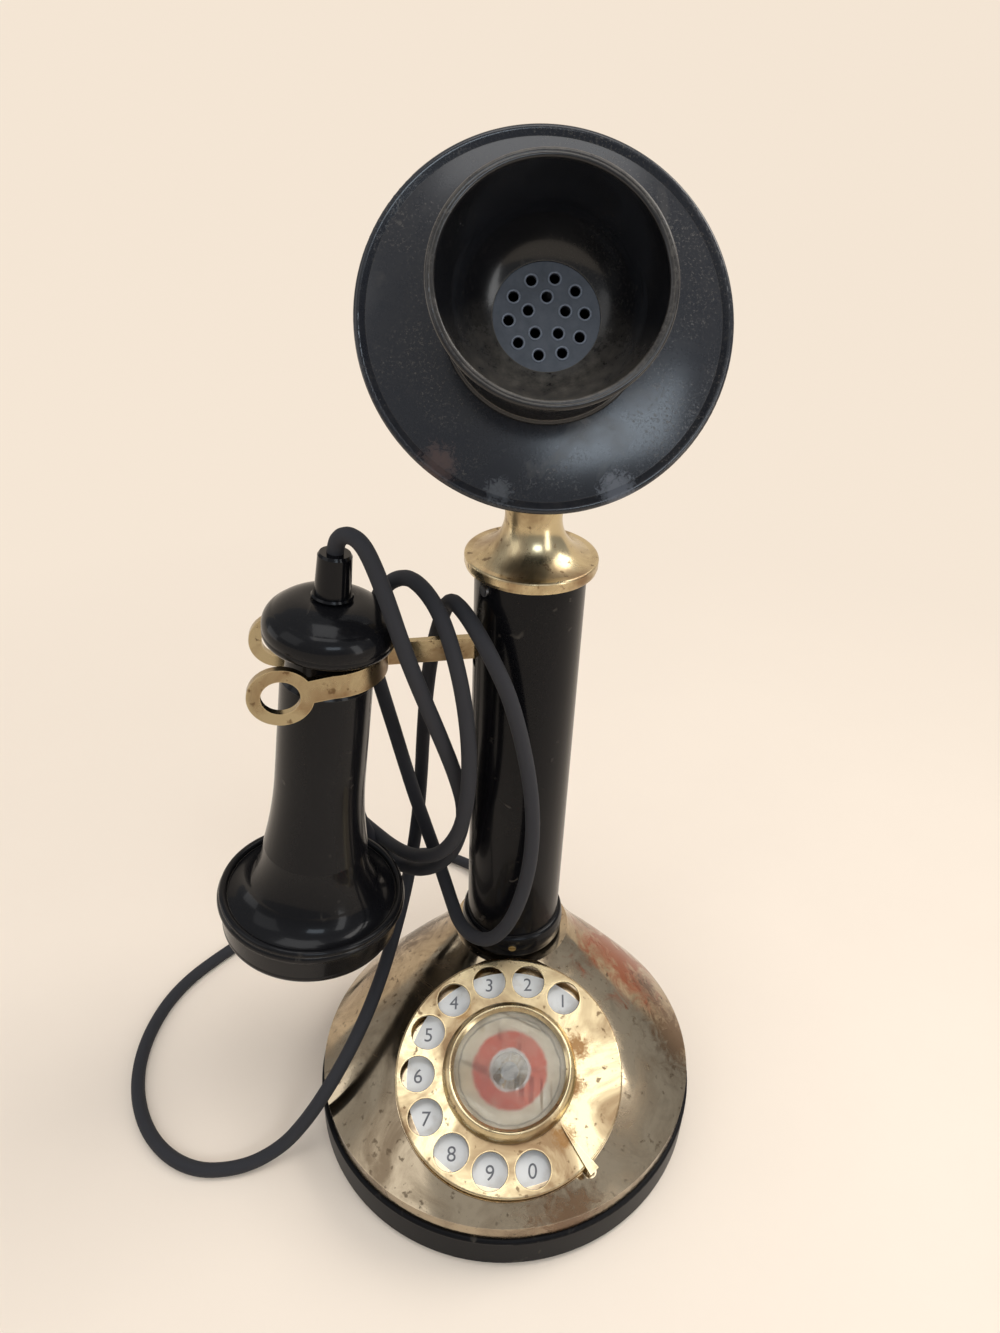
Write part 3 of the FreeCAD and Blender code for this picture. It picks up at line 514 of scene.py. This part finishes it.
class TELEPHONE_OT_black(bpy.types.Operator):
    """Finish the black enamel, hard rubber and plinth."""

    bl_idname = "telephone.black"
    bl_label = "Black pieces"

    def execute(self, context):
        shades = colours()
        enamel = black_finish("black_enamel", shades.enamel, bloom=-0.08, rough=0.24, gloss=0.09, edge_wear_and_highlight=0.25,
                              coat=0.12)
        ebonite = black_finish("ebonite", shades.ebonite, bloom=-0.08, rough=0.22, gloss=0.1, edge_wear_and_highlight=0.5,
                               coat=0.16)
        # The faceplate's two pale blue patches at the lower edge are a painted reflection; the brown one is a
        # stain.
        plate = black_finish("plate_ebonite", shades.plate, bloom=0.08, rough=0.17, gloss=0.5, edge_wear_and_highlight=0.4,
                             settle=0.2, specks=0.6, stains_and_sheen=PLATE_STAINS_AND_SHEEN)
        # The cup's pale lip edge is partly wear and partly a painted highlight.
        cup = black_finish("cup_ebonite", shades.ebonite, bloom=-0.02, rough=0.18, gloss=0.4, edge_wear_and_highlight=0.9,
                           settle=1.0, specks=0.3, coat=0.1)
        plinth = black_finish("plinth_black", shades.ebonite, bloom=-0.06, rough=0.34, gloss=0.07, edge_wear_and_highlight=0.4)
        dress(enamel, "column_tube", "column_collar", "transmitter_shell", "transmitter_diaphragm")
        dress(ebonite, "receiver_shell", "receiver_cap", "ear_cap")
        dress(plate, "faceplate")
        dress(cup, "mouthpiece")
        dress(plinth, "base_plinth")
        return {"FINISHED"}


class TELEPHONE_OT_dial_face(bpy.types.Operator):
    """Finish the number plate, the card, its window and the grille."""

    bl_idname = "telephone.dial_face"
    bl_label = "Dial face and grille"

    def execute(self, context):
        dress(white_finish(), "number_plate")
        dress(card_finish(), "dial_card")
        dress(window_finish(), "card_window")
        grey = plain_finish("grille_grey", (0.045, 0.052, 0.066), (0.085, 0.095, 0.115), scale=300.0,
                            rough=0.42)
        dress(grey, "mouthpiece_grille")
        return {"FINISHED"}


class TELEPHONE_OT_works(bpy.types.Operator):
    """Finish the steel, iron, fibre, felt, copper and rubber pieces inside, below and on the cord."""

    bl_idname = "telephone.works"
    bl_label = "Works and foot"

    def execute(self, context):
        steel = plain_finish("plain_steel", (0.32, 0.32, 0.33), (0.5, 0.5, 0.51), scale=700.0, rough=0.36,
                             metallic=1.0)
        iron = plain_finish("cast_iron", (0.05, 0.05, 0.05), (0.11, 0.1, 0.095), scale=220.0, rough=0.7,
                            metallic=0.6, depth=0.0003)
        fibre = plain_finish("fibre_board", (0.16, 0.07, 0.03), (0.24, 0.12, 0.05), scale=500.0, rough=0.6)
        felt = plain_finish("foot_felt", (0.02, 0.035, 0.025), (0.05, 0.075, 0.055), scale=1500.0, rough=0.92,
                            depth=0.0002)
        copper = plain_finish("coil_copper", (0.4, 0.16, 0.07), (0.55, 0.24, 0.1), scale=1200.0, rough=0.35,
                              metallic=1.0, depth=0.0002)
        dress(steel, "base_plate", "base_screws", "dial_frame", "mainspring_barrel", "dial_shaft",
              "governor_pinion", "cap_screw", "tilt_pin", "hook_bracket", "hook_pin", "faceplate_screws",
              "receiver_diaphragm")
        dress(iron, "ballast_weight", "receiver_magnet")
        dress(fibre, "terminal_block", "pulse_contacts", "contact_insulators")
        dress(felt, "felt_pad")
        dress(copper, "receiver_coils")
        dress(rubber_finish(), "cord_grommet", "line_grommet", "cord_sleeve", "sleeve_ring")
        return {"FINISHED"}


def rim_tree():
    """Geometry Nodes: rolled rims round a ring of holes, evenly stepped from a first angle."""
    tree = bpy.data.node_groups.new("hole_rims", "GeometryNodeTree")
    face = tree.interface
    face.new_socket("Count", in_out="INPUT", socket_type="NodeSocketInt")
    for label in ("Ring Radius", "First Angle", "Step", "Hole Radius", "Wire"):
        face.new_socket(label, in_out="INPUT", socket_type="NodeSocketFloat")
    face.new_socket("Material", in_out="INPUT", socket_type="NodeSocketMaterial")
    face.new_socket("Geometry", in_out="OUTPUT", socket_type="NodeSocketGeometry")
    nodes = tree.nodes
    links = tree.links
    given = nodes.new("NodeGroupInput").outputs

    def maths(operation, a, b=None):
        made = nodes.new("ShaderNodeMath")
        made.operation = operation
        links.new(a, made.inputs[0])
        if b is not None:
            links.new(b, made.inputs[1])
        return made.outputs[0]

    def circle(radius, sides):
        made = nodes.new("GeometryNodeCurvePrimitiveCircle")
        made.inputs["Resolution"].default_value = sides
        links.new(radius, made.inputs["Radius"])
        return made.outputs["Curve"]

    points = nodes.new("GeometryNodePoints")
    links.new(given["Count"], points.inputs["Count"])
    turn = maths("MULTIPLY", nodes.new("GeometryNodeInputIndex").outputs["Index"], given["Step"])
    angle = maths("ADD", turn, given["First Angle"])
    spot = nodes.new("ShaderNodeCombineXYZ")
    links.new(maths("MULTIPLY", maths("COSINE", angle), given["Ring Radius"]), spot.inputs["X"])
    links.new(maths("MULTIPLY", maths("SINE", angle), given["Ring Radius"]), spot.inputs["Y"])
    links.new(spot.outputs["Vector"], points.inputs["Position"])
    rim = nodes.new("GeometryNodeCurveToMesh")
    links.new(circle(given["Hole Radius"], RIM_SIDES), rim.inputs["Curve"])
    links.new(circle(given["Wire"], WIRE_SIDES), rim.inputs["Profile Curve"])
    copies = nodes.new("GeometryNodeInstanceOnPoints")
    links.new(points.outputs[0], copies.inputs["Points"])
    links.new(rim.outputs["Mesh"], copies.inputs["Instance"])
    whole = nodes.new("GeometryNodeRealizeInstances")
    links.new(copies.outputs["Instances"], whole.inputs["Geometry"])
    coat = nodes.new("GeometryNodeSetMaterial")
    links.new(whole.outputs["Geometry"], coat.inputs["Geometry"])
    links.new(given["Material"], coat.inputs["Material"])
    links.new(coat.outputs["Geometry"], nodes.new("NodeGroupOutput").inputs["Geometry"])
    return tree


def rims(name, tree, place, material, values):
    """The rims' mesh in place, from one use of the tree."""
    scratch = bpy.data.objects.new(name + "_nodes", bpy.data.meshes.new(name + "_nodes"))
    bpy.context.scene.collection.objects.link(scratch)
    modifier = scratch.modifiers.new("rims", "NODES")
    modifier.node_group = tree
    keys = {s.name: s.identifier for s in tree.interface.items_tree if s.in_out == "INPUT"}
    for label, value in {**values, "Material": material}.items():
        modifier[keys[label]] = value
    mesh = evaluated_mesh(scratch)
    scratch.modifiers.clear()
    bpy.data.objects.remove(scratch)
    mesh.name = name
    mesh.transform(place)
    mesh.shade_smooth()
    return mesh


class TELEPHONE_OT_rims(bpy.types.Operator):
    """Rolled rims round the finger holes and pressed rims round the grille's ports."""

    bl_idname = "telephone.rims"
    bl_label = "Hole rims"

    def execute(self, context):
        tree = rim_tree()
        brass = bpy.data.materials["spotted_brass"]
        grey = bpy.data.materials["grille_grey"]
        fingers = rims("finger_hole_rims", tree, on_dial((0, 0, RIM_HEIGHT)), brass, {
            "Count": FINGER_COUNT, "Ring Radius": FINGER_RING, "First Angle": FINGER_FIRST,
            "Step": FINGER_STEP, "Hole Radius": FINGER_R + RIM_CLEARANCE, "Wire": sizes().rim_wire})
        piece = new_piece("finger_hole_rims", fingers, brass)
        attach(piece, "dial")
        for name, count, ring, first in PORT_RINGS:
            label = "grille_rims_" + name
            ports = rims(label, tree, on_disc((0, 0, PORT_HEIGHT)), grey, {
                "Count": count, "Ring Radius": ring, "First Angle": first,
                "Step": math.tau / count, "Hole Radius": PORT_R, "Wire": sizes().port_wire})
            piece = new_piece(label, ports, grey)
            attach(piece, "transmitter")
        return {"FINISHED"}


class TELEPHONE_OT_figures(bpy.types.Operator):
    """Print the figures 1 to 9 and 0 on the number plate, under the finger holes."""

    bl_idname = "telephone.figures"
    bl_label = "Dial figures"

    def execute(self, context):
        tone = colours().figures
        ink = plain_finish("figure_ink", tone, shaded(tone, 1.6), scale=900.0, rough=0.5)
        for index in range(FINGER_COUNT):
            figure = str((index + 1) % FINGER_COUNT)
            text = bpy.data.curves.new("figure_" + figure, "FONT")
            text.body = figure
            text.size = sizes().figure_height * FONT_SIZE_PER_HEIGHT
            text.align_x = "CENTER"
            text.align_y = "CENTER"
            text.extrude = INK_DEPTH
            holder = bpy.data.objects.new("figure_text", text)
            bpy.context.scene.collection.objects.link(holder)
            mesh = evaluated_mesh(holder)
            bpy.data.objects.remove(holder)
            angle = FINGER_FIRST + index * FINGER_STEP
            spot = Vector((math.cos(angle), math.sin(angle), 0.0)) * FINGER_RING
            spot.z = PLATE_FACE + INK_DEPTH
            mesh.transform(on_dial(spot))
            piece = new_piece("figure_" + figure, mesh, ink)
            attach(piece, "base")
        return {"FINISHED"}


def route_curve(name, route):
    """A smooth spline with the route's points as its control points."""
    line = bpy.data.curves.new(name, "CURVE")
    line.dimensions = "3D"
    line.resolution_u = 8
    spline = line.splines.new("NURBS")
    spline.points.add(len(route) - 1)
    for point, place in zip(spline.points, route):
        point.co = (*(value * MM for value in place), 1.0)
    spline.order_u = 3
    spline.use_endpoint_u = True
    holder = bpy.data.objects.new(name, line)
    bpy.context.scene.collection.objects.link(holder)
    return holder


def route_points(holder):
    """Points along the spline, read before it has any thickness."""
    mesh = evaluated_mesh(holder)
    points = [vertex.co.copy() for vertex in mesh.vertices]
    bpy.data.meshes.remove(mesh)
    return points


def cord_mesh(name, route):
    """A round tube on the route's spline, with the points that it follows."""
    holder = route_curve(name + "_line", route)
    points = route_points(holder)
    holder.data.bevel_depth = sizes().cord_diameter / 2
    holder.data.bevel_resolution = 5
    holder.data.use_fill_caps = True
    mesh = evaluated_mesh(holder)
    bpy.data.objects.remove(holder)
    mesh.name = name
    mesh.shade_smooth()
    return mesh, points


class TELEPHONE_OT_cords(bpy.types.Operator):
    """Lay the receiver cord: the lead, the loops over the hook, and the tail to the base."""

    bl_idname = "telephone.cords"
    bl_label = "Receiver cord"

    def execute(self, context):
        rubber = bpy.data.materials["cord_rubber"]
        for name, route, lay in CORDS:
            mesh, points = cord_mesh(name + "_tube", route)
            piece = new_piece(name + "_tube", mesh, rubber)
            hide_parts(name)
            if name in CORD_BLENDS:
                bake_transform(piece)
            else:
                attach(piece, "hook")
        return {"FINISHED"}


def softbox(name, place, aim, size, power, tint):
    """An area light at its place, turned to its aim."""
    lamp = bpy.data.lights.new(name, "AREA")
    lamp.shape = "RECTANGLE"
    lamp.size, lamp.size_y = size
    lamp.energy = power
    lamp.color = tint
    holder = bpy.data.objects.new(name, lamp)
    holder.location = place
    holder.rotation_euler = (Vector(aim) - Vector(place)).to_track_quat("-Z", "Y").to_euler()
    bpy.context.scene.collection.objects.link(holder)


def photo_camera():
    """The camera that the photograph was taken with, as fitted."""
    level = math.cos(CAMERA_PITCH)
    ahead = Vector((math.sin(CAMERA_YAW) * level, math.cos(CAMERA_YAW) * level, -math.sin(CAMERA_PITCH)))
    right = ahead.cross(Vector((0, 0, 1))).normalized()
    down = ahead.cross(right)
    rolled_right = math.cos(CAMERA_ROLL) * right + math.sin(CAMERA_ROLL) * down
    rolled_down = -math.sin(CAMERA_ROLL) * right + math.cos(CAMERA_ROLL) * down
    lens = bpy.data.cameras.new("photo_camera")
    lens.sensor_width = SENSOR
    lens.lens = FOCAL_PIXELS * SENSOR / PHOTO_SIZE[1]
    lens.shift_x = (PHOTO_SIZE[0] / 2 - CENTRE_PIXELS[0]) / PHOTO_SIZE[1]
    lens.shift_y = (CENTRE_PIXELS[1] - PHOTO_SIZE[1] / 2) / PHOTO_SIZE[1]
    lens.clip_start = NEAR_CLIP
    holder = bpy.data.objects.new("photo_camera", lens)
    turn = Matrix((rolled_right, -rolled_down, -ahead)).transposed()
    holder.matrix_world = Matrix.Translation(CAMERA_PLACE) @ turn.to_4x4()
    bpy.context.scene.collection.objects.link(holder)
    bpy.context.scene.camera = holder


def sweep_mesh(half_width, front, back, height, bend):
    """A floor that curves up into a backdrop."""
    steps = 16
    profile = [(front, 0.0)]
    for step in range(steps + 1):
        angle = math.pi / 2 * step / steps
        profile.append((back - bend + bend * math.sin(angle), bend - bend * math.cos(angle)))
    profile.append((back, height))
    points = [(x, y, z) for y, z in profile for x in (-half_width, half_width)]
    faces = [(2 * i, 2 * i + 1, 2 * i + 3, 2 * i + 2) for i in range(len(profile) - 1)]
    mesh = bpy.data.meshes.new("paper_sweep")
    mesh.from_pydata(points, [], faces)
    mesh.shade_smooth()
    return mesh


def paper_finish():
    """Cream paper that keeps soft shadows near the telephone, and is evenly pale further off."""
    paper = Finish("paper_cream")
    grain = paper.ramp(paper.noise(9.0, detail=5.0, rough=0.6), 0.3, 0.7)
    tone = colours().backdrop
    paper.set(Base_Color=paper.mix(grain, shaded(tone, 0.97), tone), Roughness=0.95)
    path = paper.add("ShaderNodeLightPath").outputs
    seen = paper.math("MAXIMUM", path["Is Camera Ray"], path["Is Glossy Ray"])
    seen = paper.math("MAXIMUM", seen, path["Is Transmission Ray"])
    glow = paper.add("ShaderNodeEmission", {"Color": (*tone, 1.0), "Strength": 1.0})
    span = paper.add("ShaderNodeVectorMath", {0: paper.place}, operation="LENGTH").outputs["Value"]
    even = paper.ramp(span, 0.14, 0.52, 0.08, 0.97)
    both = paper.add("ShaderNodeMixShader", {"Fac": paper.math("MULTIPLY", seen, even)})
    paper.feed(both.inputs[1], paper.shader.outputs["BSDF"])
    paper.feed(both.inputs[2], glow.outputs["Emission"])
    paper.feed(paper.tree.nodes["Material Output"].inputs["Surface"], both.outputs["Shader"])
    return paper.material


def studio_world():
    """A soft ceiling that is dimmer at the horizon. The camera sees the backdrop's colour in its place."""
    world = bpy.data.worlds.new("studio")
    world.use_nodes = True
    tree = world.node_tree
    place = tree.nodes.new("ShaderNodeTexCoord")
    parts = tree.nodes.new("ShaderNodeSeparateXYZ")
    tree.links.new(place.outputs["Generated"], parts.inputs["Vector"])
    fall = tree.nodes.new("ShaderNodeMapRange")
    tree.links.new(parts.outputs["Z"], fall.inputs["Value"])
    for socket, value in CEILING_FALL.items():
        fall.inputs[socket].default_value = value
    ceiling = tree.nodes["Background"]
    ceiling.inputs["Color"].default_value = CEILING_COLOUR
    tree.links.new(fall.outputs["Result"], ceiling.inputs["Strength"])
    behind = tree.nodes.new("ShaderNodeBackground")
    behind.inputs["Color"].default_value = (*colours().backdrop, 1.0)
    both = tree.nodes.new("ShaderNodeMixShader")
    tree.links.new(tree.nodes.new("ShaderNodeLightPath").outputs["Is Camera Ray"], both.inputs["Fac"])
    tree.links.new(ceiling.outputs["Background"], both.inputs[1])
    tree.links.new(behind.outputs["Background"], both.inputs[2])
    tree.links.new(both.outputs["Shader"], tree.nodes["World Output"].inputs["Surface"])
    return world


class TELEPHONE_OT_stage(bpy.types.Operator):
    """Camera, pale paper sweep and soft studio lights."""

    bl_idname = "telephone.stage"
    bl_label = "Stage"

    def execute(self, context):
        photo_camera()
        mesh = sweep_mesh(half_width=5.0, front=-4.0, back=3.4, height=4.0, bend=1.2)
        sweep = bpy.data.objects.new("paper_sweep", mesh)
        sweep.data.materials.append(paper_finish())
        context.scene.collection.objects.link(sweep)
        for light in LIGHTS:
            softbox(*light)
        context.scene.world = studio_world()
        context.scene.view_settings.view_transform = "Standard"
        return {"FINISHED"}


class TELEPHONE_PT_panel(bpy.types.Panel):
    """Sizes, colours and steps of the telephone."""

    bl_idname = "TELEPHONE_PT_panel"
    bl_label = "Candlestick Telephone"
    bl_space_type = "VIEW_3D"
    bl_region_type = "UI"
    bl_category = "Telephone"

    def draw(self, context):
        for group in (context.scene.telephone_sizes, context.scene.telephone_colours):
            for key in group.bl_rna.properties.keys():
                if key not in ("rna_type", "name"):
                    self.layout.prop(group, key)
        for step in STEPS:
            self.layout.operator(step.bl_idname)


STEPS = (TELEPHONE_OT_brass, TELEPHONE_OT_black, TELEPHONE_OT_dial_face, TELEPHONE_OT_works,
         TELEPHONE_OT_rims, TELEPHONE_OT_figures, TELEPHONE_OT_cords, TELEPHONE_OT_stage)
CLASSES = (TelephoneSizes, TelephoneColours, *STEPS, TELEPHONE_PT_panel)


def register():
    for kind in CLASSES:
        bpy.utils.register_class(kind)
    bpy.types.Scene.telephone_sizes = bpy.props.PointerProperty(type=TelephoneSizes)
    bpy.types.Scene.telephone_colours = bpy.props.PointerProperty(type=TelephoneColours)


def unregister():
    del bpy.types.Scene.telephone_colours
    del bpy.types.Scene.telephone_sizes
    for kind in reversed(CLASSES):
        bpy.utils.unregister_class(kind)


def main():
    register()
    bpy.ops.telephone.brass()
    bpy.ops.telephone.black()
    bpy.ops.telephone.dial_face()
    bpy.ops.telephone.works()
    bpy.ops.telephone.rims()
    bpy.ops.telephone.figures()
    bpy.ops.telephone.cords()
    bpy.ops.telephone.stage()


if __name__ == "__main__":
    main()
